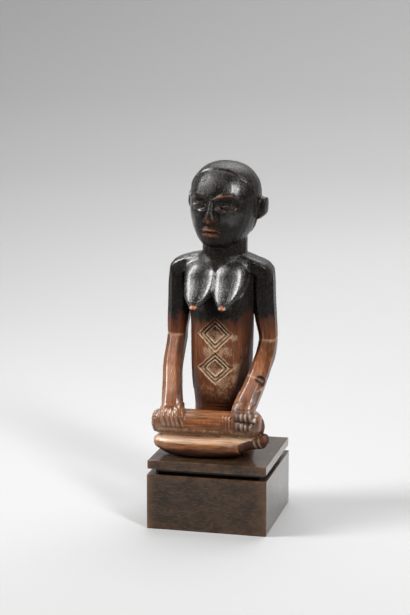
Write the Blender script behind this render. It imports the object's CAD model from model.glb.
import math
from functools import partial

import bpy
import numpy as np
from mathutils import Euler, Matrix
from mathutils.kdtree import KDTree


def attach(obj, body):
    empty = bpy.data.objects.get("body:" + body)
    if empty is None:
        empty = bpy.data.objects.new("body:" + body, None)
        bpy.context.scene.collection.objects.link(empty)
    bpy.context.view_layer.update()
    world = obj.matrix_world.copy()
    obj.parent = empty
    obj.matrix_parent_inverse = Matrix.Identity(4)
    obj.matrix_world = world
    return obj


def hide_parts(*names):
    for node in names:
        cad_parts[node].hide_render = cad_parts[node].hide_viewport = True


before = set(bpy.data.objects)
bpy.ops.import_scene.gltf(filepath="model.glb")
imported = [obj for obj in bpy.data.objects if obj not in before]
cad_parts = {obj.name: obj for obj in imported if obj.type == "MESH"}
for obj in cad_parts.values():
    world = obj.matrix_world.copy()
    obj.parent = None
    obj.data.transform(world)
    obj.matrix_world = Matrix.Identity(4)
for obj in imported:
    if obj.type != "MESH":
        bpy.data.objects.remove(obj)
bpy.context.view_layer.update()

# The plinth is one block of fine-grained hardwood, planed square and stained dark brown.
# A groove is sawn all round near its top, so that a thin slab seems to lie on a block,
# and its edges are rubbed soft and paler with handling.
MM = 0.001
PLINTH_SIDE = 65 * MM
BLOCK_TOP = 30 * MM
GROOVE_DEPTH = 4 * MM
GROOVE_HEIGHT = 3 * MM
SLAB_SIDE = 64.4 * MM
PLINTH_TOP = 37.5 * MM
EDGE_WIDTH = 0.8 * MM
EDGE_STEPS = 3
EDGE_ANGLE = math.radians(40)
PLANING_CUTS = 40
EDGE_WEAR = 0.4 * MM
EDGE_REACH = 1.6 * MM
CORNER_REACH = 6 * MM
PLANING_WAVE = 0.12 * MM
HAIRBREADTH = 0.1 * MM


def switch_to(mode):
    bpy.ops.object.mode_set(mode=mode)


def work_on(piece):
    """Selects one object alone and makes it the active one."""
    if bpy.context.object and bpy.context.object.mode != "OBJECT":
        switch_to("OBJECT")
    bpy.ops.object.select_all(action="DESELECT")
    piece.select_set(True)
    bpy.context.view_layer.objects.active = piece


def pick_faces(piece, wanted):
    """Selects the faces whose middle and normal pass a test, in edit mode."""
    work_on(piece)
    switch_to("EDIT")
    bpy.ops.mesh.select_mode(type="FACE")
    bpy.ops.mesh.select_all(action="DESELECT")
    switch_to("OBJECT")
    for face in piece.data.polygons:
        face.select = wanted(face.center, face.normal)
    switch_to("EDIT")


def extrude_up(height):
    bpy.ops.mesh.extrude_region_move(TRANSFORM_OT_translate={"value": (0, 0, height)})


def finish_with(piece, kind, **settings):
    """Adds a modifier to a piece and applies it."""
    work_on(piece)
    modifier = piece.modifiers.new(kind.lower(), kind)
    for name, value in settings.items():
        setattr(modifier, name, value)
    bpy.ops.object.modifier_apply(modifier=modifier.name)


def skin_of(piece):
    """The points of a piece, and the way that its skin faces at each of them."""
    points, normals = (np.empty(len(piece.data.vertices) * 3, np.float32) for _ in range(2))
    piece.data.vertices.foreach_get("co", points)
    piece.data.vertex_normals.foreach_get("vector", normals)
    return points.reshape(-1, 3).astype(float), normals.reshape(-1, 3).astype(float)


def move_points(piece, points):
    piece.data.vertices.foreach_set("co", points.astype(np.float32).ravel())
    piece.data.update()


def mark_points(piece, name, values):
    """Stores one number for each point, for the material to read."""
    mark = piece.data.attributes.new(name, "FLOAT", "POINT")
    mark.data.foreach_set("value", np.asarray(values, np.float32))


BLOTCHES = np.random.default_rng(18).random((32, 32, 32))


def mottle(points, size):
    """A smooth random pattern from -1 to 1 with blotches of about the given size."""
    at = points / size
    cell = np.floor(at).astype(int)
    part = at - cell
    part = part * part * (3 - 2 * part)
    total = np.zeros(len(points))
    for corner in np.ndindex(2, 2, 2):
        weight = np.prod(np.where(corner, part, 1 - part), axis=1)
        x, y, z = ((cell + corner) % len(BLOTCHES)).T
        total += weight * BLOTCHES[x, y, z]
    return 2 * total - 1


bpy.ops.object.select_all(action="DESELECT")
bpy.ops.mesh.primitive_cube_add(
    size=1, location=(0, 0, BLOCK_TOP / 2), scale=(PLINTH_SIDE, PLINTH_SIDE, BLOCK_TOP)
)
plinth = bpy.context.object
plinth.name = "stained_plinth"
bpy.ops.object.transform_apply()
pick_faces(plinth, lambda middle, normal: normal.z > 0.9)
bpy.ops.mesh.inset(thickness=GROOVE_DEPTH)
extrude_up(GROOVE_HEIGHT)
extrude_up(0)
slab_bottom = BLOCK_TOP + GROOVE_HEIGHT
widening = SLAB_SIDE / (PLINTH_SIDE - 2 * GROOVE_DEPTH)
bpy.ops.transform.resize(value=(widening, widening, 1), center_override=(0, 0, slab_bottom))
extrude_up(PLINTH_TOP - slab_bottom)
bpy.ops.mesh.select_all(action="SELECT")
bpy.ops.mesh.subdivide(number_cuts=PLANING_CUTS)
finish_with(
    plinth, "BEVEL", width=EDGE_WIDTH, segments=EDGE_STEPS,
    limit_method="ANGLE", angle_limit=EDGE_ANGLE,
)

points, normals = skin_of(plinth)
most_slanted = 1 - math.sqrt(0.5)
on_edge = (1 - np.abs(normals).max(axis=1)) / most_slanted
rubbed = on_edge * (0.5 + 0.5 * mottle(points, 7 * MM)) * EDGE_WEAR
planed = (0.5 + 0.5 * mottle(points, 16 * MM)) * PLANING_WAVE
points -= normals * (rubbed + planed)[:, None]
points[:, 2] = np.maximum(points[:, 2], 0)
move_points(plinth, points)
outer = PLINTH_SIDE / 2 - np.abs(points[:, :2])
levels = np.array([0, BLOCK_TOP, slab_bottom, PLINTH_TOP])
from_levels = np.abs(points[:, 2:] - levels).min(axis=1)
from_faces = np.sort(np.column_stack([np.abs(outer), from_levels]), axis=1)
from_edge = np.hypot(from_faces[:, 0], from_faces[:, 1])
above_block = points[:, 2] > BLOCK_TOP - HAIRBREADTH
below_slab = points[:, 2] < slab_bottom + HAIRBREADTH
sunk = np.clip((outer.min(axis=1) / MM - 0.3) / 1.5, 0, 1)
mark_points(plinth, "upwards", np.clip(skin_of(plinth)[1][:, 2], 0, 1))
mark_points(plinth, "corner", np.exp(-outer.max(axis=1) / CORNER_REACH))
mark_points(plinth, "edge", np.exp(-from_edge / EDGE_REACH))
mark_points(plinth, "groove", above_block * below_slab * sunk)
work_on(plinth)
bpy.ops.object.shade_smooth()


def new_material(name):
    """A material with its shader, and a function that adds nodes to it.
    A socket that is given as a setting is linked, and any other value is set."""
    material = bpy.data.materials.new(name)
    material.use_nodes = True
    tree = material.node_tree
    shader = tree.nodes["Principled BSDF"]

    def connect(node, sockets):
        for key, value in sockets.items():
            if isinstance(value, bpy.types.NodeSocket):
                tree.links.new(value, node.inputs[key])
            else:
                node.inputs[key].default_value = value

    def add(kind, sockets=None, **settings):
        node = tree.nodes.new(kind)
        for key, value in settings.items():
            setattr(node, key, value)
        connect(node, sockets or {})
        return node

    return material, shader, add, connect


def pattern_tools(add):
    """Short names for the few kinds of node that both woods are painted with."""
    place = add("ShaderNodeTexCoord").outputs["Object"]

    def streaks(scale, stretch=(1, 1, 1), detail=4, roughness=0.55):
        """Noise, drawn out along each axis whose stretch is small."""
        stretched = add("ShaderNodeMapping", {"Vector": place, "Scale": stretch})
        noise = add("ShaderNodeTexNoise", {
            "Vector": stretched.outputs[0], "Scale": scale,
            "Detail": detail, "Roughness": roughness,
        })
        return noise.outputs["Fac"]

    def between(value, low, high, to_low=0.0, to_high=1.0):
        node = add("ShaderNodeMapRange", {
            "Value": value, "From Min": low, "From Max": high,
            "To Min": to_low, "To Max": to_high,
        }, interpolation_type="SMOOTHSTEP")
        return node.outputs["Result"]

    def maths(operation, one, other):
        node = add("ShaderNodeMath", {0: one, 1: other}, operation=operation)
        return node.outputs[0]

    plus, minus, times = (partial(maths, name) for name in ("ADD", "SUBTRACT", "MULTIPLY"))

    def coats(colour, *layers):
        """Coats of colour on a first one. The mix node's colour sockets are 6, 7 and, out, 2."""
        for coat, share in layers:
            under, over = (
                tone if isinstance(tone, bpy.types.NodeSocket) else (*tone, 1)
                for tone in (colour, coat)
            )
            node = add("ShaderNodeMix", {0: share, 6: under, 7: over}, data_type="RGBA")
            colour = node.outputs[2]
        return colour

    def mark(name):
        return add("ShaderNodeAttribute", attribute_name=name).outputs["Fac"]

    return streaks, between, plus, minus, times, coats, mark


stained_wood, shader, add, connect = new_material("stained_wood")
streaks, between, plus, minus, times, coats, mark = pattern_tools(add)
GRAIN_DEPTH = 0.2 * MM
GROOVE_BLACK = (0.002, 0.001, 0.0006)
DARK_STAIN = (0.015, 0.008, 0.0042)
STAIN = (0.035, 0.0195, 0.0105)
PALE_STAIN = (0.078, 0.045, 0.023)
RUBBED_BROWN = (0.16, 0.075, 0.032)
WARM_BROWN = (0.095, 0.048, 0.024)
cloudy = streaks(80, (1, 1, 1.6))
grain = streaks(1500, (0.22, 1, 1), detail=4, roughness=0.7)
pores = streaks(2400, (0.3, 1, 1), detail=2)
mottled = streaks(420, (0.6, 1, 1), detail=6, roughness=0.75)
pale_grain = plus(grain, times(mark("upwards"), 0.06))
warm = between(plus(mark("corner"), times(minus(cloudy, 0.5), 0.9)), 0.3, 1.0, 0.0, 0.55)
edge_wear = times(mark("edge"), between(streaks(160), 0.4, 0.66))
colour = coats(
    DARK_STAIN,
    (STAIN, between(cloudy, 0.3, 0.6)),
    (PALE_STAIN, between(pale_grain, 0.47, 0.62, 0.0, 0.55)),
    (DARK_STAIN, times(between(mottled, 0.5, 0.62), 0.75)),
    (DARK_STAIN, times(between(pores, 0.55, 0.7), 0.7)),
    (WARM_BROWN, warm),
    (RUBBED_BROWN, times(edge_wear, 0.4)),
    (GROOVE_BLACK, times(mark("groove"), 0.95)),
)
roughness = plus(between(cloudy, 0.3, 0.7, 0.2, 0.28), times(mottled, 0.14))
relief = plus(grain, times(pores, 0.7))
bump = add("ShaderNodeBump", {"Height": relief, "Strength": 0.45, "Distance": GRAIN_DEPTH})
connect(shader, {
    "Base Color": colour, "Roughness": roughness, "Normal": bump.outputs[0],
    "Specular IOR Level": 0.06, "Coat Weight": 1.0, "Coat IOR": 1.38, "Coat Roughness": 0.12,
})
plinth.data.materials.append(stained_wood)
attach(plinth, "root")
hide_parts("plinth")

# The trunk is the upright core of one piece of wood, from which the whole figure is carved.
# It is roughed out with the adze and rounded with the knife, a little narrower at the waist.
# Each row of a form gives its middle x, y and z and its half sizes across and deep, in mm.
FORM_STEPS = 4
DOME_TURNS = (15, 30, 44, 57, 68, 77, 84)
ROUND = 1
NEARLY_ROUND = 0.999
TRUNK = [
    (-1.8, 16.0, 37.0, 15.5, 13.0), (-1.8, 15.75, 42, 17.4, 15.25), (-2, 15.75, 48, 16.9, 15.25),
    (-2.4, 15.25, 54, 14.8, 13.75), (-2.6, 13.9, 60, 13.8, 12.9), (-2, 12.5, 72, 15.6, 13.5),
    (-1.5, 12.3, 90, 16.8, 14.3), (-1.4, 12.4, 106, 17, 14.6), (-1.7, 13.55, 118, 18.2, 15.05),
    (-1.6, 14.75, 130, 20, 13.6), (-1.4, 14.2, 136, 19.2, 14), (-1, 13.8, 140.5, 17, 12.4),
    (-0.6, 13.75, 144, 13.6, 10.4),
]
TRUNK_CORNER = 0.86


def eased(rows, steps=FORM_STEPS):
    """Adds rows between the given ones, on a smooth curve that never overshoots."""
    rows = np.array(rows, float)
    gaps = np.linalg.norm(np.diff(rows[:, :3], axis=0), axis=1)
    slopes = np.diff(rows, axis=0) / gaps[:, None]
    before, after = slopes[:-1], slopes[1:]
    level = before * after <= 0
    shared = np.where(level, 0, 2 * before * after / np.where(level, 1, before + after))
    leans = np.vstack([slopes[0], shared, slopes[-1]])
    made = []
    for i, gap in enumerate(gaps):
        for t in np.arange(steps) / steps:
            start, end = 1 - 3 * t**2 + 2 * t**3, 3 * t**2 - 2 * t**3
            leaving, arriving = t - 2 * t**2 + t**3, t**3 - t**2
            ends = start * rows[i] + end * rows[i + 1]
            made.append(ends + gap * (leaving * leans[i] + arriving * leans[i + 1]))
    return np.array([*made, rows[-1]])


def domed(rows, start_bulge, end_bulge):
    """Closes the ends of a form as domes of the given bulge."""
    def dome(row, beside, bulge):
        outwards = (row[:3] - beside[:3]) / np.linalg.norm(row[:3] - beside[:3])
        return [
            [*(row[:3] + outwards * bulge * math.sin(t)), *(row[3:] * math.cos(t))]
            for t in np.radians(DOME_TURNS)
        ]

    rows = eased(rows)
    start = dome(rows[0], rows[1], start_bulge)[::-1]
    return np.array([*start, *rows, *dome(rows[-1], rows[-2], end_bulge)])


def turn(angle, axis, middle):
    """Turns the selection. With no window, the operator turns the other way."""
    if abs(angle) > 1e-6:
        bpy.ops.transform.rotate(value=-angle, orient_axis=axis, center_override=middle)


def form(name, rows, corner, lying="level", corner_steps=6):
    """A closed form, extruded from row to row out of a square with rounded corners.
    The sections lie level, stand across X, or lean square to the run of the rows."""
    rows = np.array(rows) * MM
    middles, sizes = rows[:, :3], rows[:, 3:]
    tilts = np.zeros(len(rows))
    if lying == "leaning":
        ahead = np.gradient(middles, axis=0)
        tilts = np.unwrap(np.arctan2(ahead[:, 1], -ahead[:, 2]))
    bpy.ops.object.select_all(action="DESELECT")
    bpy.ops.mesh.primitive_plane_add(size=2)
    piece = bpy.context.object
    piece.name = name
    switch_to("EDIT")
    bpy.ops.mesh.select_all(action="SELECT")
    corner = min(corner, NEARLY_ROUND)
    bpy.ops.mesh.bevel(offset=corner, segments=corner_steps, affect="VERTICES")
    bpy.ops.transform.resize(value=(*sizes[0], 1), center_override=(0, 0, 0))
    if lying == "upright":
        turn(math.pi / 2, "X", (0, 0, 0))
        turn(math.pi / 2, "Z", (0, 0, 0))
    turn(tilts[0], "X", (0, 0, 0))
    bpy.ops.transform.translate(value=middles[0])
    for i in range(1, len(rows)):
        step = middles[i] - middles[i - 1]
        across, deep = sizes[i] / sizes[i - 1]
        growth = (1, across, deep) if lying == "upright" else (across, deep, 1)
        bpy.ops.mesh.extrude_region_move(TRANSFORM_OT_translate={"value": step})
        if lying == "leaning":
            turn(-tilts[i - 1], "X", middles[i])
        bpy.ops.transform.resize(value=growth, center_override=middles[i])
        if lying == "leaning":
            turn(tilts[i], "X", middles[i])
    bpy.ops.mesh.select_all(action="SELECT")
    bpy.ops.mesh.normals_make_consistent(inside=False)
    switch_to("OBJECT")
    return piece


def pebble(name, middle, radii, sides=32):
    """A rounded lump, in mm."""
    bpy.ops.object.select_all(action="DESELECT")
    bpy.ops.mesh.primitive_uv_sphere_add(
        segments=sides, ring_count=sides // 2, radius=MM,
        location=[value * MM for value in middle], scale=radii,
    )
    piece = bpy.context.object
    piece.name = name
    bpy.ops.object.transform_apply()
    return piece


def cut_out(piece, cutter):
    """Cuts one form out of another and throws the cutter away."""
    finish_with(piece, "BOOLEAN", object=cutter, operation="DIFFERENCE", solver="EXACT")
    bpy.data.objects.remove(cutter)


carved = [form("trunk", eased(TRUNK), TRUNK_CORNER)]

# The shoulders are one bar across the trunk that slopes down to both arms. Its front edge is left
# as a crisp ledge over the arms, and the neck is a plain post that rises out of it.
SHOULDERS = [
    (-28.8, 12.6, 134.6, 7.2, 4.2), (-26.4, 12.4, 136.2, 8, 4.9), (-20, 12.6, 138.2, 8.8, 5),
    (-12, 13, 139.6, 9.4, 5), (10, 13, 139.6, 9.4, 5), (17, 12.6, 137.6, 8.8, 5),
    (23.4, 12.4, 135.2, 8, 4.9), (25.8, 12.6, 133.4, 7.2, 4.2),
]
NECK = [(-0.1, 13, 136, 12.9, 12.3), (-0.1, 13, 142, 12.4, 12.3), (-0.1, 13, 158, 12.3, 12.3)]
SHOULDER_BULGE = 1.8
SHOULDER_CORNER = 0.6
bar = domed(SHOULDERS, SHOULDER_BULGE, SHOULDER_BULGE)
carved.append(form("shoulders", bar, SHOULDER_CORNER, "upright"))
carved.append(form("neck", NECK, ROUND))

# The breasts are long cones that hang from the shoulder line and part over the breastbone.
# They are polished by handling, and their tips are worn to bare wood.
# Each row gives its step to the side, the middle of the pair, y and z and the two half sizes.
BREAST_ROWS = [
    (8, -2.3, 9.8, 141, 8.7, 7.6), (7.9, -2.5, 7, 138.5, 9.5, 7.6), (7.9, -2.7, 4.4, 135, 9.8, 7),
    (7.9, -2.9, 1.8, 130.5, 9.5, 6.2), (7.8, -3.3, -0.9, 126, 8.7, 6),
    (7.9, -3.9, -4.3, 121.4, 6.6, 5), (7.9, -4.4, -7.8, 117.6, 3.1, 3),
]
for side, name in ((-1, "right_breast"), (1, "left_breast")):
    rows = [(middle + side * step, *rest) for step, middle, *rest in BREAST_ROWS]
    carved.append(form(name, domed(rows, 1.2, 2.5), ROUND))

# The arms hang free of the trunk and reach forward to the shins. They are left square, with their
# corners taken off, and the left forearm has lost a chip from its outer edge.
RIGHT_ARM = [
    (-24.8, 12.4, 135, 5.4, 7.8), (-24.9, 12.2, 126, 6.1, 7.4), (-25.7, 13.2, 111, 6.1, 6.5),
    (-27, 14.5, 99, 5.2, 6), (-26.9, 10.5, 92.5, 5.1, 6), (-26.4, 1.5, 84, 5.2, 5),
    (-24.4, -8, 74.5, 5.4, 4.2), (-22.6, -15.5, 66.5, 5.8, 3.6), (-22, -18.5, 62, 5.6, 3),
]
LEFT_ARM = [
    (21.8, 12.4, 134, 5.4, 7.8), (21.8, 12.2, 126, 5.9, 7.4), (22.5, 13.2, 111, 5.7, 6.5),
    (23.8, 14.5, 97.8, 4.8, 6), (23.7, 10.5, 91.5, 4.9, 6), (22.6, 1.5, 84, 5.1, 5),
    (20.4, -7.5, 75, 5.6, 4.4), (17.8, -14.5, 67.5, 6.2, 4), (16.8, -18, 63, 6, 3.4),
]
ARM_CORNER = 0.5
carved.append(form("right_arm", eased(RIGHT_ARM), ARM_CORNER, "leaning", corner_steps=1))
left_arm = form("left_arm", eased(LEFT_ARM), ARM_CORNER, "leaning", corner_steps=1)
CHIPS = [((25.2, -9.4, 79.8), (3.6, 3, 2.2)), ((28.4, -9.6, 77.8), (4.2, 3.6, 2.6))]
for middle, radii in CHIPS:
    cut_out(left_arm, pebble("chip", middle, radii))
carved.append(left_arm)

# The legs are crossed in front: each shin is a rounded log that lies from side to side, the left
# one on the right one, and the thighs run back from them into the trunk.
UPPER_SHIN = [
    (-31, -15.5, 55.6, 6, 6), (-27, -15.5, 55.6, 6.8, 6.8), (0, -16, 56, 6.8, 6.4),
    (19, -16, 56.4, 6.8, 6.2), (23.6, -15.5, 56.4, 6.4, 6.1),
]
LOWER_SHIN = [
    (-28, -17.2, 44.7, 5.6, 3.8), (-23, -17.4, 43.7, 6.8, 5), (-12, -17.4, 43.1, 7.2, 5.7),
    (6, -17.4, 43.9, 7.2, 5.5), (15, -17.2, 44.9, 6.8, 4.9), (18.8, -17, 45.9, 5.2, 3.5),
    (23, -17, 46.7, 4.8, 3.2), (27.6, -17, 47.4, 5, 3.4),
]
RIGHT_THIGH = [
    (-25, -14, 44, 6, 5.2), (-20, 0, 45.5, 7.2, 6.5), (-12, 14, 47, 8, 7.5), (-8.5, 22, 47.4, 8, 8),
]
LEFT_THIGH = [
    (21.5, -13, 54.5, 6.2, 6.4), (16.5, 0, 53, 7.4, 7.4), (8.5, 14, 50.5, 8, 8),
    (5.5, 22, 48.8, 8, 8.4),
]
SHIN_CORNER = 0.75
carved.append(form("left_shin", domed(UPPER_SHIN, 3, 3), SHIN_CORNER, "upright"))
carved.append(form("right_shin", domed(LOWER_SHIN, 4.6, 1.5), SHIN_CORNER, "upright"))
carved.append(form("right_thigh", eased(RIGHT_THIGH), TRUNK_CORNER, "leaning"))
carved.append(form("left_thigh", eased(LEFT_THIGH), TRUNK_CORNER, "leaning"))

# The right hand lies over the shin with four straight fingers and the thumb beside them. The left
# hand is closed over the knee in two rows of short finger joints, and the right foot has its toes
# side by side at the end of the lower shin.
FINGER = [
    (0.8, 0, -12.5, 65, 1.9, 2.2), (0.9, 0, -20, 62.4, 1.9, 2.2),
    (0.95, 0.7, -22.1, 59.3, 1.8, 1.7), (1, 1.4, -22.2, 55.2, 1.5, 1.3),
]
FINGER_STEPS = (-3.9, -1.3, 1.3, 3.9)
RIGHT_HAND_X = -22.9
THUMB = [
    (-18.2, -16, 66, 2.6, 2.6), (-16.8, -19.5, 62, 2.2, 2.6),
    (-15.4, -21.4, 57.5, 1.8, 2), (-14.8, -21.8, 55, 1.5, 1.6),
]
LEFT_HAND = [
    (17.2, -17, 66.5, 6, 4), (16.8, -19.6, 62, 6.1, 4.2), (16.6, -19.8, 57.5, 5.9, 3.8),
    (17, -19.4, 54.6, 5, 3),
]
JOINTS_X, JOINTS_Y = 18.2, -23.3
JOINT_STEPS = (-3.6, -1.2, 1.2, 3.7)
JOINT_ROWS = ((61.6, 2.1), (56.4, 1.9))
TOES_Y = -17.1
TOE_STEPS = (-3.3, -1.1, 1.1, 3.3)
for i, step in enumerate(FINGER_STEPS):
    rows = [(RIGHT_HAND_X + step * spread + lean, *rest) for spread, lean, *rest in FINGER]
    carved.append(form(f"finger_{i}", domed(rows, 0.6, 1), ROUND, "leaning"))
carved.append(form("thumb", domed(THUMB, 0.6, 1), ROUND, "leaning"))
carved.append(form("left_hand", domed(LEFT_HAND, 1, 2), SHIN_CORNER, "leaning"))
for height, half_height in JOINT_ROWS:
    for step in JOINT_STEPS:
        middle = (JOINTS_X + step, JOINTS_Y, height)
        carved.append(pebble("joint", middle, (1.2, 1.7, half_height)))
for step in TOE_STEPS:
    carved.append(pebble("toe", (28, TOES_Y + step, 48), (2.4, 1.25, 3.4)))

# The head is turned a little to its right on the neck. Its face is calm, with lowered lids, a
# straight nose and closed lips, and its ears are blocks with a shallow hollow in front.
HEAD_FOOT = np.array([-1, 11, 150])
HEAD_TILT, HEAD_TURN = math.radians(3), math.radians(-9)
SKULL_CORNER = 0.94
SKULL = [
    (148.5, -12.5, 2, 6.4), (151, -16, 8, 10.2), (154.5, -18, 14.5, 13.2), (159, -19, 18.5, 15.8),
    (165, -19.6, 20.5, 17.6), (171, -19.8, 21, 18.5), (177, -19.4, 21, 18.7),
    (182.5, -17.6, 20, 17.7), (187, -14.5, 17.5, 15.2), (191, -10, 13, 11.2),
    (193.3, -4.5, 7.5, 6), (194, -1, 3.5, 2.2),
]
CHIN = 148.5
HAIRLINE = 191
FACE_Y = -19.8
FACE_THIRD = (HAIRLINE - CHIN) / 3
BROW = CHIN + 2 * FACE_THIRD
NOSE_BASE = CHIN + FACE_THIRD
MOUTH = NOSE_BASE - FACE_THIRD / 3
EYES = BROW - FACE_THIRD / 3
EYE_STEP = 8.2
NOSE = [
    (0, FACE_Y + 1.4, BROW - 1, 1.7, 1.4), (0, FACE_Y + 0.3, BROW - 5, 1.9, 2),
    (0, FACE_Y - 1, NOSE_BASE + 4, 2.8, 2.4), (0, FACE_Y - 1.2, NOSE_BASE + 1.6, 4, 2.6),
    (0, FACE_Y - 0.6, NOSE_BASE, 3.6, 2.1),
]
EAR_Y, EAR_HEIGHT = 5, 170.6
EAR = [(15, 0.6, -1, 4.8, 6.2), (19.8, 0.2, 0, 4.2, 5.7), (21.9, 0.2, 0.8, 3.6, 4.7)]
head_turn = Euler((0, HEAD_TILT, HEAD_TURN)).to_matrix().to_4x4()
head_pose = Matrix.Translation(HEAD_FOOT * MM) @ head_turn
head_pose = head_pose @ Matrix.Translation((0, 0, -HEAD_FOOT[2] * MM))

rows = [
    (0, (front + back) / 2, z, half, (back - front) / 2) for z, front, back, half in SKULL
]
skull = form("skull", eased(rows), SKULL_CORNER)
head_forms = [skull, form("nose", eased(NOSE), ROUND)]
for side in (-1, 1):
    eye_x = side * EYE_STEP
    cut_out(skull, pebble("socket", (eye_x, FACE_Y - 1.2, EYES + 0.2), (6.6, 4.4, 4.2)))
    head_forms.append(pebble("eyelid", (eye_x, FACE_Y + 3, EYES - 0.6), (4.1, 1.7, 1.9)))
    rows = [(side * x, EAR_Y + back, EAR_HEIGHT + up, *sizes) for x, back, up, *sizes in EAR]
    ear = form("ear", domed(rows, 0.4, 0.8), SHIN_CORNER, "upright")
    hollow = pebble("ear_hollow", (side * 20.9, EAR_Y - 4.5, EAR_HEIGHT + 0.4), (1, 0.7, 2.8))
    cut_out(ear, hollow)
    head_forms.append(ear)
head_forms.append(pebble("upper_lip", (0, FACE_Y + 0.2, MOUTH + 1), (5.4, 2, 1.3)))
head_forms.append(pebble("lower_lip", (0, FACE_Y + 0.4, MOUTH - 1.3), (4.9, 2.1, 1.5)))
for piece in head_forms:
    work_on(piece)
    piece.matrix_world = head_pose
    bpy.ops.object.transform_apply()
carved.extend(head_forms)

# All the forms are one piece of wood, so they are merged into one skin, and its flat underside
# stands on the plinth. The fine cuts and the marks of the knife are then carved into that skin.
SKIN_STEP = 0.4 * MM
SMOOTHINGS = 5
SMOOTH_IN, SMOOTH_OUT = 0.6, -0.62
TOUCHING = 0.02 * MM

work_on(carved[0])
for piece in carved[1:]:
    piece.select_set(True)
bpy.ops.object.join()
figure = bpy.context.object
figure.name = "carved_figure"
finish_with(figure, "REMESH", mode="VOXEL", voxel_size=SKIN_STEP, adaptivity=0)
switch_to("EDIT")
bpy.ops.mesh.select_all(action="SELECT")
bpy.ops.mesh.bisect(
    plane_co=(0, 0, PLINTH_TOP), plane_no=(0, 0, 1), clear_inner=True, use_fill=True
)
switch_to("OBJECT")

edges = np.empty(len(figure.data.edges) * 2, np.int32)
figure.data.edges.foreach_get("vertices", edges)
edges = edges.reshape(-1, 2)
degree = np.maximum(np.bincount(edges.ravel(), minlength=len(figure.data.vertices)), 1)


def blurred(values, rounds, share=0.5):
    """Each point's value drawn towards that of its neighbours, as many rounds as said."""
    values = np.array(values, float)
    flat = values.reshape(len(values), -1)
    one, other = edges.T
    for _ in range(rounds):
        total = np.column_stack([
            np.bincount(one, column[other], len(flat)) + np.bincount(other, column[one], len(flat))
            for column in flat.T
        ])
        flat = flat + share * (total / degree[:, None] - flat)
    return flat.reshape(values.shape)


points, _ = skin_of(figure)
underside = points[:, 2] < PLINTH_TOP + TOUCHING
for _ in range(SMOOTHINGS):
    points = blurred(points, 1, SMOOTH_IN)
    points = blurred(points, 1, SMOOTH_OUT)
points[underside, 2] = PLINTH_TOP
move_points(figure, points)

# The fine lines are cut with the point of the knife: rings round the arms, the gaps between the
# fingers and toes, and the lids and lips. The lower rows are cracks and scratches in the shins.
# A cut gives its corners, half width, depth, span in depth and side, the front if none is said.
SIDES = {
    "front": ((0, 2), 1, -1), "back": ((0, 2), 1, 1),
    "left": ((1, 2), 0, 1), "right": ((1, 2), 0, -1),
}
FACING = 0.15
ARM_RINGS = [
    ([(-33, 98.9), (-27, 98.4), (-21, 98.4)], 0.45, 0.35, (3, 22)),
    ([(6, 98.4), (14, 98.8), (22, 99.2)], 0.45, 0.3, (-34, -29), "right"),
    ([(18, 97.2), (24, 97.5), (30, 97.4)], 0.45, 0.35, (3, 22)),
    ([(6, 97), (14, 97.6), (22, 98)], 0.45, 0.3, (26, 31), "left"),
    ([(13.8, 80.9), (18, 81), (21.8, 80.1), (25, 78.2)], 0.45, 0.35, (-9, 3)),
    ([(13, 72.4), (18.5, 72.8), (21.8, 73.6), (27, 75.4)], 0.45, 0.4, (-14, -2)),
]
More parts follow.
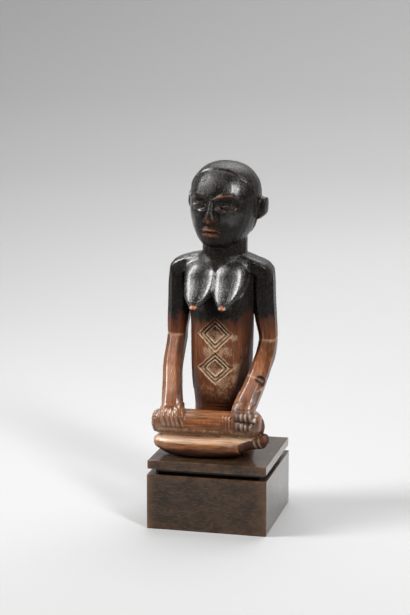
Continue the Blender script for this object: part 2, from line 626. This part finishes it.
BODY_CUTS = [
    # cracks, scratches and a bound band on the upper shin
    ([(-6.6, 57.5), (-5.2, 57.9), (-3.6, 57.5), (-1.4, 57.7)], 0.4, 0.35, (-26, -19)),
    ([(-2.6, 58.2), (0.4, 57.8), (3.2, 58.1), (4.4, 57.9)], 0.5, 0.55, (-26, -19)),
    ([(3.8, 57.7), (6.6, 58)], 0.4, 0.3, (-26, -19)),
    ([(-10.4, 59.6), (-5, 59.8), (-1, 59.6)], 0.35, 0.25, (-26, -19)),
    ([(6.1, 61.8), (6.1, 51)], 0.4, 0.25, (-26, -16)),
    ([(7.7, 62.2), (7.6, 50.6)], 0.45, 0.4, (-26, -16)),
    ([(9.4, 62.2), (9.3, 50.6)], 0.45, 0.4, (-26, -16)),
    # left hand
    ([(14, 59.4), (19, 59), (23.4, 58.1)], 0.7, 1.2, (-28, -20)),
    ([(15.8, 63.6), (15.8, 54.4)], 0.5, 0.5, (-28, -20)),
    ([(18.2, 63.8), (18.2, 54.4)], 0.5, 0.5, (-28, -20)),
    ([(20.6, 63.6), (20.7, 54.6)], 0.5, 0.5, (-28, -20)),
    ([(11.2, 55), (10.9, 60), (11.3, 63.4), (12.6, 65)], 0.5, 0.6, (-28, -15)),
    ([(14.4, 65.8), (18.4, 65.1), (22.2, 65.8)], 0.5, 0.5, (-26, -12)),
    # right hand, with its knuckles as a mound: a depth below zero is left standing
    ([(-25.5, 62.6), (-24.1, 55.2)], 0.45, 0.25, (-28, -18)),
    ([(-22.9, 62.8), (-21.4, 55.2)], 0.45, 0.25, (-28, -18)),
    ([(-20.4, 62.6), (-18.8, 55.4)], 0.45, 0.25, (-28, -18)),
    ([(-18.6, 63.4), (-16.4, 56)], 0.5, 0.45, (-28, -16)),
    ([(-28.8, 60), (-28, 62.4), (-26.4, 63.8), (-24.4, 64.1), (-21.2, 63.8), (-19.4, 63)],
     0.5, 0.4, (-26, -12)),
    ([(-29.2, 61.4), (-28.4, 63.6), (-26.6, 65.1), (-24.4, 65.4), (-21, 65), (-18.8, 64)],
     0.9, -0.3, (-26, -10)),
    ([(-30.8, 61.4), (-31.3, 56), (-30.8, 50.4)], 0.5, 0.5, (-24, -8)),
    # end of the upper shin
    ([(-21, 53), (-9, 53)], 0.45, 0.6, (-40, -30), "right"),
    ([(-21, 55.8), (-9, 55.8)], 0.45, 0.6, (-40, -30), "right"),
    ([(-21, 58.6), (-9, 58.6)], 0.45, 0.6, (-40, -30), "right"),
    # lap
    ([(-7.4, 62.4), (5, 62.2)], 0.4, 0.3, (-3, 5)),
    ([(-7.4, 60.4), (5, 60.6)], 0.4, 0.3, (-3, 5)),
    # right foot
    ([(22.7, 49.4), (19, 47.9), (16.1, 47), (15.2, 45.4), (16.4, 42)], 0.7, 0.6, (-26, -12)),
    ([(22.2, 49), (22.9, 47), (24.2, 44.6)], 0.5, 0.45, (-26, -12)),
    ([(24.6, 50.6), (25.2, 48), (26.6, 45)], 0.5, 0.5, (-26, -12)),
    # spine, cleft and shoulder blades
    ([(-1.8, 130), (-2, 64)], 3, 1, (18, 40), "back"),
    ([(-1.8, 57), (-1.8, 36)], 2, 1.8, (18, 40), "back"),
    ([(-11, 126), (-9.5, 117)], 7, -0.9, (18, 40), "back"),
    ([(7.5, 126), (6, 117)], 7, -0.9, (18, 40), "back"),
]
FACE_SPAN = (-26, -6)
FACE_CUTS = [
    ([(-5.4, MOUTH + 0.3), (-2.6, MOUTH - 0.1), (0, MOUTH + 0.15), (2.6, MOUTH - 0.1),
      (5.4, MOUTH + 0.3)], 0.55, 0.8),
    ([(0, NOSE_BASE - 1.2), (0, MOUTH + 2.4)], 1, 0.25),
    ([(0, CHIN + 4), (0, CHIN + 4.5)], 5, -0.5),
]
for side in (-1, 1):
    eye = side * EYE_STEP
    FACE_CUTS += [
        ([(eye - 3.9, EYES - 0.9), (eye - 2, EYES - 1.6), (eye + 2, EYES - 1.6),
          (eye + 3.9, EYES - 0.9)], 0.5, 0.5),
        ([(eye - 4.5, EYES - 0.3), (eye - 2.4, EYES + 1.3), (eye + 2.4, EYES + 1.3),
          (eye + 4.5, EYES - 0.3)], 0.5, 0.35),
        ([(side * 1.9, BROW - 1.7), (side * 5, BROW + 0.4), (side * 9.4, BROW + 1),
          (side * 14, BROW - 1.4)], 1.8, -0.7),
        ([(side * 1.6, NOSE_BASE + 0.4), (side * 1.7, NOSE_BASE + 0.5)], 0.9, 0.7),
        ([(side * 10, NOSE_BASE + 3.4), (side * 10.5, NOSE_BASE + 4.5)], 6.5, -0.6),
        ([(side * 3.9, NOSE_BASE + 3.6), (side * 4.4, NOSE_BASE + 1.4),
          (side * 3.6, NOSE_BASE - 0.4)], 0.5, 0.25),
    ]


def beside_line(flat, line):
    """How far each flat point is from a line of corners."""
    nearest = np.full(len(flat), np.inf)
    for start, end in zip(line, line[1:]):
        start, along = np.array(start), np.subtract(end, start)
        share = np.clip((flat - start) @ along / (along @ along), 0, 1)
        nearest = np.minimum(nearest, np.linalg.norm(flat - start - share[:, None] * along, axis=1))
    return nearest


def cut_share(places, facings, line, half_width, span, side="front"):
    """How deep a cut is at each point: 1 in its middle and 0 beside it."""
    flat_axes, far_axis, sign = SIDES[side]
    share = np.zeros(len(places))
    far = places[:, far_axis]
    seen = (facings[:, far_axis] * sign > FACING) & (far > span[0]) & (far < span[1])
    flat = places[seen][:, flat_axes]
    share[seen] = np.clip(1 - beside_line(flat, line) / half_width, 0, 1)
    return share


def rounded(share):
    """A share from 0 to 1, eased at both ends."""
    return share * share * (3 - 2 * share)


def cut_depth(places, facings, line, half_width, depth, *where):
    """How deep a cut goes at each point: fine cuts are sharp and wide ones rounded."""
    share = cut_share(places, facings, line, half_width, *where)
    return depth * (rounded(share) if half_width > 1 else share)


def step_up(values, low, high):
    """0 below the low mark and 1 above the high one."""
    return rounded(np.clip((values - low) / (high - low), 0, 1))


def in_head(vectors, foot=(0, 0, 0)):
    """Vectors as the turned head has them."""
    return (vectors - np.array(foot)) @ np.array(head_pose.to_3x3())


BREASTBONE_X = -2.4
BLENDING = 60
x, y, z = (points / MM).T
blended = step_up(z, 134, 139) * (1 - step_up(z, 145, 148)) * (1 - step_up(y, 5, 9))
blended *= 1 - step_up(np.abs(x - BREASTBONE_X), 17, 20)
points += (blurred(points, BLENDING) - points) * blended[:, None]
move_points(figure, points)
points, normals = skin_of(figure)
places = points / MM
head_places = in_head(places, head_pose.translation / MM)
head_normals = in_head(normals)
carving = np.zeros(len(points))
for cut in ARM_RINGS + BODY_CUTS:
    carving += cut_depth(places, normals, *cut)
for cut in FACE_CUTS:
    carving += cut_depth(head_places, head_normals, *cut, FACE_SPAN)

# Two lozenges are cut in the belly: each is a pair of channels with ridges between, round a sunk
# middle. The profile goes from the middle out, as shares of the lozenge and depths in mm.
LOZENGES = [(-2.2, 101.4, 9.8, 9.7), (-2.3, 82.7, 10.3, 9.4)]
PROFILE_SHARES = [0, 0.36, 0.43, 0.48, 0.54, 0.59, 0.66, 0.72, 0.78, 0.83, 0.9, 0.96, 1.02, 1.1]
PROFILE_DEPTHS = [1.0, 1.2, 1.0, -0.35, -0.25, 1.0, 1.0, -0.2, -0.1, 0.8, 0.8, -0.3, -0.2, 0]
FAR_OUTSIDE = 9
belly = (normals[:, 1] < -0.3) & (places[:, 1] < 6) & (np.abs(places[:, 0]) < 17)
shares = []
for x, z, half_width, half_height in LOZENGES:
    share = np.abs(places[:, 0] - x) / half_width + np.abs(places[:, 2] - z) / half_height
    share += 0.035 * mottle(points, 4 * MM) + 0.025 * mottle(points, 1.5 * MM)
    depths = np.interp(share, PROFILE_SHARES, PROFILE_DEPTHS)
    carving += belly * depths * (0.85 + 0.25 * mottle(points, 6 * MM))
    shares.append(np.where(belly, share, FAR_OUTSIDE))
in_lozenge = np.minimum(*shares)

# The cap of hair is a thin shell that is left standing on the skull. Its edge is crisp, runs from
# ear to ear over the crown, and has a line cut along it.
HAIR_EDGE_Y = -10.5
HAIR_EDGE_TILT = math.radians(27)
HAIR_NAPE = 156
HAIR_HEIGHT = 0.45
EDGE_LINE_DEPTH = 0.3
x, y, z = head_places.T
past_edge = (y - HAIR_EDGE_Y) * math.cos(HAIR_EDGE_TILT)
past_edge = past_edge + (z - HAIRLINE) * math.sin(HAIR_EDGE_TILT)
hair = step_up(past_edge, -0.2, 0.4) * step_up(z, HAIR_NAPE - 0.3, HAIR_NAPE + 0.3)
on_skull = 1 - step_up(np.abs(x), 18.9, 19.6)
carving -= HAIR_HEIGHT * hair * on_skull
edge_line = np.clip(1 - np.abs(past_edge + 0.6) / 0.6, 0, 1) * step_up(z, 160, 164)
carving += EDGE_LINE_DEPTH * edge_line * on_skull
move_points(figure, points - normals * (carving * MM)[:, None])

# The knife leaves the skin in long flat facets, which polish has softened but not levelled. They
# are left off the breasts and the head, and are faint on the arms.
FACET_SIZE = 8 * MM
FACET_LENGTH = 3
FACET_STRENGTH = 0.28
FACET_TURN = 0.8
FACET_REACH = 1 * MM
SKIN_TRIM = 0.1 * MM
TRUNK_X = -1.5


def knife_facets(points, normals, size):
    """How far each point moves towards the plane of the facet that it lies in."""
    scaled = points / (size * np.array([1, 1, FACET_LENGTH]))
    order = np.random.default_rng(5).permutation(len(points))
    _, first = np.unique(np.floor(scaled[order]).astype(int), axis=0, return_index=True)
    seeds = order[first]
    tree = KDTree(len(seeds))
    for i, seed in enumerate(seeds):
        tree.insert(scaled[seed], i)
    tree.balance()
    facet = seeds[[tree.find(place)[1] for place in scaled]]
    off_plane = ((points - points[facet]) * normals[facet]).sum(axis=1)
    alike = (normals * normals[facet]).sum(axis=1) > FACET_TURN
    return np.where(alike & (np.abs(off_plane) < FACET_REACH), -off_plane, 0)


def on_breasts(x, y, z):
    """1 on the breasts and 0 beside them."""
    steps, middles, _, heights, halves, _ = np.array(BREAST_ROWS[::-1]).T
    reach = np.interp(z, heights, halves)
    away = [
        np.abs(x - np.interp(z, heights, middles + side * steps)) / reach for side in (-1, 1)
    ]
    share = (1 - step_up(np.min(away, axis=0), 0.95, 1.2)) * step_up(z, 113.5, 115)
    return share * (y < 8) * (1 - step_up(z, 140, 144))


points, normals = skin_of(figure)
broad_normals = blurred(normals, 8)
broad_normals /= np.linalg.norm(broad_normals, axis=1)[:, None]
flattened = blurred(knife_facets(points, broad_normals, FACET_SIZE), 6)
plain_skin = 1 - step_up(blurred(np.abs(carving), 4), 0.03, 0.2)
x, y, z = (points / MM).T
aside = np.abs(x - TRUNK_X)
on_arms = (aside > 18) * (z > 66) + (aside > 10) * (y < -4) * (z > 66) * (z < 84)
smooth_parts = (1 - blurred(on_breasts(x, y, z), 4)) * (1 - step_up(z, 150, 154))
plain_skin *= smooth_parts * (1 - 0.8 * np.clip(on_arms, 0, 1))
unevenness = 0.05 * MM * mottle(points, 11 * MM) + 0.03 * MM * mottle(points, 3 * MM)
moved = plain_skin * FACET_STRENGTH * flattened + unevenness - SKIN_TRIM
points += broad_normals * moved[:, None]
points[underside, 2] = PLINTH_TOP
points[:, 2] = np.maximum(points[:, 2], PLINTH_TOP)
move_points(figure, points)

# Handling wears the ridges pale, and dust and old oil stay in the hollows. The black patina covers
# the head, the shoulders and the upper arms, and ends in a soft uneven edge over the brown wood.
SPINE_X = -1.8
PATINA_EDGE = 107.5
PATINA_FADE = 10
points, normals = skin_of(figure)
places = points / MM
x, y, z = places.T
close_relief = ((blurred(points, 6) - points) * normals).sum(axis=1) / MM
broad_relief = ((blurred(points, 60) - points) * normals).sum(axis=1) / MM
cleft = (np.abs(x - SPINE_X) < 5) * (y > 18) * (z < 60)
mark_points(figure, "ridge", np.clip(-close_relief, 0, 1) * (1 - cleft))
mark_points(figure, "notch", np.clip(close_relief, 0, 1))
mark_points(figure, "hollow", np.clip(broad_relief, -2, 2))

patina_edge = np.full(len(points), PATINA_EDGE)
patina_edge += 8 * step_up(x, 9, 14) * (1 - step_up(x, 15, 16.5))
patina_edge += 1.5 * step_up(np.abs(x - SPINE_X), 17.5, 19)
mark_points(figure, "patina", np.clip((z - patina_edge) / PATINA_FADE, -1.5, 1.5))

# The ridges of the lozenges are rubbed light, and the channels between them are dark.
LINE_SHARES = [0.44, 0.49, 0.54, 0.69, 0.74, 0.79, 0.93, 0.98, 1.04]
LINE_LIGHTS = [0, 1, 0, 0, 0.7, 0, 0, 0.8, 0]
CHANNEL_SHARES = [0.55, 0.6, 0.65, 0.7, 0.8, 0.84, 0.88, 0.92]
CHANNEL_DARKS = [0, 0.9, 0.9, 0, 0, 0.8, 0.8, 0]
lines = np.interp(in_lozenge, LINE_SHARES, LINE_LIGHTS)
channels = np.interp(in_lozenge, CHANNEL_SHARES, CHANNEL_DARKS)
upper_side = np.where(shares[0] < shares[1], z > LOZENGES[0][1], z > LOZENGES[1][1])
channels *= np.where(upper_side, 1, 0.2)
lines *= np.where(upper_side, 0.7, 1)
blotted = np.clip(0.75 + 0.5 * mottle(points, 3 * MM), 0, 1)
lines *= blotted * (1 - 0.8 * step_up(z, 101.5, 105.5))
mark_points(figure, "line", lines)
mark_points(figure, "channel", channels)


def from_patches(across, up, patches):
    """How far each point is from the nearest round patch, as a share of its radius."""
    reaches = [np.hypot(across - x, up - z) / radius for x, z, radius in patches]
    return np.min(reaches, axis=0)


# Pale dust lies in and round the lozenges, low on the belly and between the shins.
DUST_SMEAR = [(7, 78.5), (9.3, 79.6), (11.5, 85.2), (13.7, 89.8), (14.7, 94.2)]
smear = cut_share(places, normals, DUST_SMEAR, 2.2, (-6, 14))
low_belly = belly * (1 - step_up(np.abs(z - 68.5), 3, 7))
low_belly = low_belly * (0.5 + 0.5 * mottle(points, 3.5 * MM))
between_shins = step_up(z, 49.6, 51.2) * (1 - step_up(z, 52.8, 54.6)) * (y < -17) * (x < 24)
inside = 0.62 * (1 - step_up(in_lozenge, 0.95, 1.1)) * (1 - 0.7 * step_up(z, 102, 107))
DUST_PATCHES = [
    (-6, 92, 5), (3.4, 92, 5.5), (7.6, 100, 3.5), (9, 83, 5), (2, 74.5, 8), (9.5, 76, 6),
]
from_dust = from_patches(x, z, DUST_PATCHES) + 0.3 * mottle(points, 3 * MM)
patches = 0.75 * belly * (1 - step_up(from_dust, 0.1, 1.2))
dusty_parts = [inside, patches, 0.8 * smear, 0.5 * low_belly, 0.5 * between_shins]
mark_points(figure, "dust", np.maximum.reduce(dusty_parts))

# Soot and oil darken the flanks of the trunk, the foot and the underside of the lower shin, and the
# shins and forearms are rubbed to a lighter, golden brown.
SHINS_MEET = 50.5
aside = np.abs(x - TRUNK_X)
on_trunk = (aside < 17.6) * step_up(z, 56, 64) * (z < 122) * (y > -3)
flank = on_trunk * (step_up(x + 0.22 * (92 - z) * (z < 92), 10.2, 13.6) + step_up(-x, 13.6, 16.6))
low_trunk = on_trunk * (1 - step_up(z, 64, 72)) * 0.6
foot_edge = 47 + 0.3 * (x - 16.1) + 20 * step_up(x, 22.2, 23.2) + 0.4 * mottle(points, 2 * MM)
foot = step_up(x + 0.4 * mottle(points, 2 * MM), 14.9, 15.9)
foot = foot * (z < foot_edge) * (z < 51.2) * (y < -8)
under_lower = 1 - step_up(z + 0.6 * mottle(points, 2.5 * MM), 41.6, 44.2)
under_upper = (z < 56) * 0.5 * (1 - step_up(z, SHINS_MEET, 53))
beneath = (z < SHINS_MEET) * under_lower + (z > SHINS_MEET) * under_upper
from_chips = [np.linalg.norm((places - middle) / radii, axis=1) for middle, radii in CHIPS]
chipped = 1 - step_up(np.min(from_chips, axis=0), 1.04, 1.16)
inner = step_up(-normals[:, 0] * np.sign(x), 0.45, 0.85)
inner = inner * (aside > 15) * (y < 22) * (1 - step_up(z, 96, 100))
palm = 0.7 * (np.abs(x - 18) < 5.6) * (np.abs(z - 59.3) < 5.4) * (y < -18)
dark_foot = foot * (1 - 0.45 * step_up(z, 47.5, 50))
dark_parts = [
    flank, low_trunk, dark_foot, beneath, 0.7 * inner, 1.2 * chipped, blurred(palm, 6),
]
mark_points(figure, "shade", np.clip(np.maximum.reduce(dark_parts), 0, 1))
forearms = (aside > 16) * (1 - step_up(z, 97.6, 98.6)) + (aside > 10) * (y < -4) * (z < 84)
shins = (y < -6) * (z < 64.5)
mark_points(figure, "polish", np.clip(np.maximum(forearms, shins), 0, 1))
lower_top = (z < 51) * (y < -8) * step_up(z, 44.6, 47) * (1 - foot)
upper_top = 0.3 * (z > 51) * shins * step_up(z, 58.5, 61)
mark_points(figure, "worn", np.clip(lower_top + upper_top, 0, 1))

# The wood shows bare at the tips of the breasts, and a little on the brow, the nose and the lips.
# Hands have polished the breasts, the shoulders and the head, and the crests are rubbed pale.
BARE_SPAN = (-27, -6)
NIPPLES = [(-12.4, 116.3), (3.4, 116.3)]
bare = np.zeros(len(points))
for middle in NIPPLES:
    away = np.hypot(x - middle[0], z - middle[1]) + 0.4 * mottle(points, 1 * MM)
    bare = np.maximum(bare, (1 - step_up(away, 1.6, 2.4)) * (y < -3))
head_places = in_head(places, head_pose.translation / MM)
head_normals = in_head(normals)
for line, half_width in (
    ([(-3, MOUTH + 1.5), (3, MOUTH + 1.5)], 1.1), ([(-3.4, MOUTH - 1.8), (3.4, MOUTH - 1.8)], 1.4),
    ([(0, NOSE_BASE + 0.8), (0, NOSE_BASE + 1.6)], 2), ([(4, BROW + 0.4), (9.4, BROW + 1.2)], 0.9),
):
    share = cut_share(head_places, head_normals, line, half_width, BARE_SPAN)
    bare = np.maximum(bare, 0.35 * rounded(share))
scratched = cut_share(places, normals, [(-7, 57.8), (5.4, 58.2)], 2.2, (-26, -19))
bare = np.maximum(bare, 0.5 * rounded(scratched) * np.clip(0.5 + mottle(points, 1.5 * MM), 0, 1))
mark_points(figure, "bare", bare)

HEAD_SHINE = [
    (-10, BROW + 10, 7), (-11.5, NOSE_BASE + 5, 6), (12, BROW + 6, 4.5), (10, NOSE_BASE + 4, 5),
]
from_shine = from_patches(head_places[:, 0], head_places[:, 2], HEAD_SHINE)
shiny = 1 - step_up(from_shine + 0.35 * mottle(points, 2.5 * MM), 0.3, 1.3)
head_shine = step_up(z, 150, 153) * (0.12 + 0.8 * shiny * (head_places[:, 1] < 0))
breasts = on_breasts(x, y, z) * (1 - 0.5 * step_up(z, 134, 141))
shoulders = step_up(z, 136, 138) * np.where(x < 0, 1, 0.25) * (np.abs(x) > 13)
polished = np.maximum.reduce([0.88 * breasts, shoulders, head_shine, 0.42 * forearms, 0.36 * shins])
polished *= 1 - 0.8 * np.clip(foot + chipped + beneath, 0, 1)
mark_points(figure, "gloss", blurred(np.clip(polished, 0, 1), 6))

CREST_WIDTH = 0.8
FINGER_CRESTS = [
    [(-26.6, 61), (-24.9, 54.8)], [(-24.1, 61.4), (-22.6, 54.8)], [(-21.6, 61.2), (-20.1, 54.8)],
    [(-19.2, 60.4), (-17.6, 55)], [(-16.8, 60), (-14.9, 54.8)],
]
JOINT_CRESTS = [
    [(17, 63.3), (17, 60)], [(19.4, 63.4), (19.4, 60)], [(21.9, 63), (22.1, 59.8)],
    [(17.2, 57.6), (17.3, 54.8)], [(19.4, 57.6), (19.5, 54.8)], [(22, 57.4), (22.1, 54.8)],
]
FOOT_CRESTS = [
    [(23, 50), (19, 48.7), (15.8, 47.8)], [(23.2, 48.8), (23.9, 46.8), (25, 44.8)],
    [(25.6, 50.2), (26.2, 48), (27.4, 45.6)],
]
CREASES = [(line, 1, *where) for line, _, _, *where in ARM_RINGS]
CREASES += [(line, 0.5, (-28, -16)) for line in FINGER_CRESTS]
CREASES += [(line, 0.75, (-28, -12)) for line in JOINT_CRESTS + FOOT_CRESTS]
creases = [
    pale * cut_share(places, normals, line, CREST_WIDTH, *where)
    for line, pale, *where in CREASES
]
mark_points(figure, "crease", np.max(creases, axis=0))

# The skin is thinned, because one piece may hold no more than 200,000 triangles.
MOST_TRIANGLES = 196000
triangles = sum(len(face.vertices) - 2 for face in figure.data.polygons)
if triangles > MOST_TRIANGLES:
    finish_with(figure, "DECIMATE", ratio=MOST_TRIANGLES / triangles)
work_on(figure)
bpy.ops.object.shade_smooth()

# The wood is a reddish brown hardwood with upright grain, glossy from handling and oil. Its ridges
# are rubbed pale, dust and oil lie in its hollows, and a black crust of soot covers its upper part.
patinated_wood, shader, add, connect = new_material("patinated_wood")
streaks, between, plus, minus, times, coats, mark = pattern_tools(add)
LEGS_FROM, LEGS_FULL = 0.0655, 0.0615
DEEP_BROWN = (0.030, 0.010, 0.005)
RED_BROWN = (0.130, 0.038, 0.015)
GOLDEN_BROWN = (0.215, 0.074, 0.022)
RUBBED_TAN = (0.44, 0.29, 0.185)
KHAKI_DUST = (0.31, 0.2, 0.12)
BLACK_PATINA = (0.0050, 0.0042, 0.0038)
GREY_PATINA = (0.018, 0.015, 0.013)
BARE_WOOD = (0.42, 0.13, 0.04)
GOLDEN_TAN = (0.42, 0.19, 0.06)
OLD_OIL = (0.055, 0.036, 0.022)
PALE_CREST = (0.68, 0.50, 0.34)

place = add("ShaderNodeTexCoord").outputs["Object"]
height = add("ShaderNodeSeparateXYZ", {"Vector": place}).outputs["Z"]
on_legs = between(height, LEGS_FROM, LEGS_FULL)


def along_the_wood(scale, length, detail):
    """Streaks that run up the figure, and from side to side in its legs."""
    upright = streaks(scale, (1, 0.22, length), detail)
    lying = streaks(scale, (length, 1, 1), detail)
    standing = times(upright, minus(1.0, on_legs))
    return plus(standing, times(lying, on_legs))


fibres = along_the_wood(1500, 0.05, 3)
bands = along_the_wood(300, 0.1, 4)
cloudy = streaks(70, (1, 1, 0.45), detail=3)
crust = streaks(1800, (1, 1, 0.6), detail=4, roughness=0.7)
speckle = streaks(560, (1, 1, 0.7), detail=5, roughness=0.7)

golden = plus(times(mark("polish"), 0.45), times(between(cloudy, 0.45, 0.7), 0.45))
mottled = along_the_wood(200, 0.4, 5)
long_streaks = between(along_the_wood(130, 0.12, 4), 0.47, 0.62, 0.0, 0.6)
light_fibres = times(between(fibres, 0.44, 0.34), plus(0.1, times(mark("polish"), 0.2)))
streaked = times(minus(plus(bands, fibres), 1.0), 2.0)
worn = between(plus(mark("worn"), streaked), 0.15, 1.15, 0.0, 0.8)
filled = plus(times(mark("polish"), 0.35), times(mark("dust"), 0.5))
notched = minus(0.85, filled)
rubbed = times(between(mark("ridge"), 0.06, 0.2), between(speckle, 0.35, 0.6))
patchy = times(minus(plus(speckle, crust), 1.0), 1.6)
dusty = between(plus(mark("dust"), patchy), 0.25, 0.85, 0.0, 0.9)
shaded = times(mark("shade"), between(cloudy, 0.3, 0.6, 0.75, 1.0))

ragged = times(minus(streaks(210, (1, 1, 0.35), detail=5), 0.5), 1.5)
black = between(plus(mark("patina"), ragged), -0.2, 0.3)
singed = between(plus(mark("patina"), ragged), -1.1, 0.0, 0.0, 0.6)
oily = times(between(mark("hollow"), 0.1, 0.7), between(speckle, 0.35, 0.6, 0.1, 0.6))
soot = coats(
    BLACK_PATINA,
    (GREY_PATINA, between(speckle, 0.5, 0.75)),
    (OLD_OIL, times(between(crust, 0.5, 0.66), 0.35)),
    (OLD_OIL, oily),
    (RED_BROWN, times(between(mark("ridge"), 0.05, 0.18), 0.5)),
)
colour = coats(
    RED_BROWN,
    (GOLDEN_BROWN, golden),
    (DEEP_BROWN, times(between(mottled, 0.48, 0.66), 0.6)),
    (DEEP_BROWN, times(between(bands, 0.5, 0.64), 0.35)),
    (DEEP_BROWN, times(long_streaks, mark("polish"))),
    (DEEP_BROWN, times(between(fibres, 0.5, 0.64), 0.4)),
    (GOLDEN_TAN, light_fibres),
    (DEEP_BROWN, times(between(mark("hollow"), 0.2, 1.0), 0.9)),
    (RUBBED_TAN, worn),
    (DEEP_BROWN, times(between(mark("notch"), 0.05, 0.18), notched)),
    (RUBBED_TAN, times(rubbed, 0.7)),
    (KHAKI_DUST, dusty),
    (DEEP_BROWN, times(mark("channel"), 0.85)),
    (PALE_CREST, times(mark("line"), between(speckle, 0.3, 0.58, 0.15, 0.95))),
    (DEEP_BROWN, shaded),
    (RUBBED_TAN, times(mark("crease"), between(speckle, 0.3, 0.6, 0.25, 0.75))),
    (DEEP_BROWN, singed),
    (soot, black),
    (BARE_WOOD, times(mark("bare"), between(speckle, 0.34, 0.56))),
)

wood_shine = between(bands, 0.35, 0.65, 0.26, 0.4)
black_shine = between(speckle, 0.35, 0.7, 0.16, 0.36)
bare_shine = times(wood_shine, minus(1.0, black))
roughness = plus(bare_shine, times(black_shine, black))
dull = plus(times(dusty, 0.3), times(mark("shade"), 0.25))
roughness = plus(roughness, dull)
crusty = times(crust, plus(0.25, times(black, 1.2)))
tooled = times(streaks(900, (1, 1, 0.3), detail=4, roughness=0.6), black)
relief = plus(times(fibres, 0.7), plus(plus(crusty, tooled), times(speckle, times(black, 0.6))))
bump = add("ShaderNodeBump", {"Height": relief, "Strength": 0.6, "Distance": GRAIN_DEPTH})
connect(shader, {
    "Base Color": colour, "Roughness": roughness, "Normal": bump.outputs[0],
    "Specular IOR Level": between(mark("gloss"), 0.0, 1.0, 0.16, 0.6),
    "Coat Weight": between(mark("gloss"), 0.2, 1.0, 0.0, 0.5), "Coat Roughness": 0.18,
})
figure.data.materials.append(patinated_wood)
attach(figure, "root")
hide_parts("figure")

# The figure stands in a studio, on a pale floor that curves up into a round wall. Two tall soft
# lights stand high at the picture's left and right, a broad one hangs overhead, and one lights
# the wall.
FLOOR_PROFILE = [
    (1.2, 0), (1.5, 0.03), (1.8, 0.12), (2.1, 0.3), (2.35, 0.6), (2.45, 1.0), (2.5, 2.2),
]
bpy.ops.object.select_all(action="DESELECT")
bpy.ops.mesh.primitive_circle_add(vertices=96, radius=FLOOR_PROFILE[0][0], fill_type="NGON")
floor = bpy.context.object
floor.name = "studio_floor"
switch_to("EDIT")
bpy.ops.mesh.select_mode(type="EDGE")
bpy.ops.mesh.select_all(action="SELECT")
bpy.ops.mesh.region_to_loop()
for (radius, height), (wider, higher) in zip(FLOOR_PROFILE, FLOOR_PROFILE[1:]):
    bpy.ops.mesh.extrude_edges_move(TRANSFORM_OT_translate={"value": (0, 0, higher - height)})
    spread = wider / radius
    bpy.ops.transform.resize(value=(spread, spread, 1), center_override=(0, 0, higher))
switch_to("OBJECT")
bpy.ops.object.shade_smooth()
pale_paper, shader, _, connect = new_material("pale_paper")
connect(shader, {"Base Color": (0.34, 0.34, 0.34, 1), "Roughness": 0.8, "Specular IOR Level": 0.2})
floor.data.materials.append(pale_paper)

FIGURE_PLACE = (0, 0, 0.1)
WALL_PLACE = (0.4, 2.4, 0.7)


def softbox(name, aim, azimuth, elevation, distance, width, height, power, spread=180):
    """A soft light that looks at its aim. Azimuth 0 is in front and 90 at the figure's left."""
    bpy.ops.object.light_add(type="AREA")
    lamp = bpy.context.object
    lamp.name = name
    lamp.data.shape = "RECTANGLE"
    lamp.data.size, lamp.data.size_y = width, height
    lamp.data.energy = power
    lamp.data.spread = math.radians(spread)
    a, e = math.radians(azimuth), math.radians(elevation)
    away = np.array([math.sin(a) * math.cos(e), -math.cos(a) * math.cos(e), math.sin(e)])
    lamp.location = np.array(aim) + away * distance
    lamp.rotation_euler = (math.pi / 2 - e, 0, a)


softbox("left_softbox", FIGURE_PLACE, -70, 40, 1.0, 0.28, 1.0, 5.2, 90)
softbox("right_softbox", FIGURE_PLACE, 46, 34, 1.1, 0.16, 0.7, 2.7, 80)
softbox("top_softbox", (0, 0.6, 0), 180, 80, 1.4, 1.6, 1.2, 14.6, 110)
softbox("wall_softbox", WALL_PLACE, 0, 60, 1.5, 1.6, 0.5, 46)
world = bpy.data.worlds.new("studio_air")
bpy.context.scene.world = world
world.use_nodes = True
world.node_tree.nodes["Background"].inputs["Color"].default_value = (0.8, 0.8, 0.8, 1)
world.node_tree.nodes["Background"].inputs["Strength"].default_value = 0.16
bpy.context.scene.view_settings.view_transform = "Standard"

# The camera stands about 90 cm away, a little above the figure and to its left, and looks down
# at it through a long lens.
CAMERA_PLACE = (0.20196, -0.87628, 0.28546)
CAMERA_YAW = math.radians(13.49)
CAMERA_PITCH = math.radians(10.67)
camera_turn = (math.pi / 2 - CAMERA_PITCH, 0, CAMERA_YAW)
bpy.ops.object.camera_add(location=CAMERA_PLACE, rotation=camera_turn)
camera = bpy.context.object
camera.data.lens = 99.5
camera.data.sensor_width = 36
camera.data.clip_start, camera.data.clip_end = 0.05, 20
bpy.context.scene.camera = camera
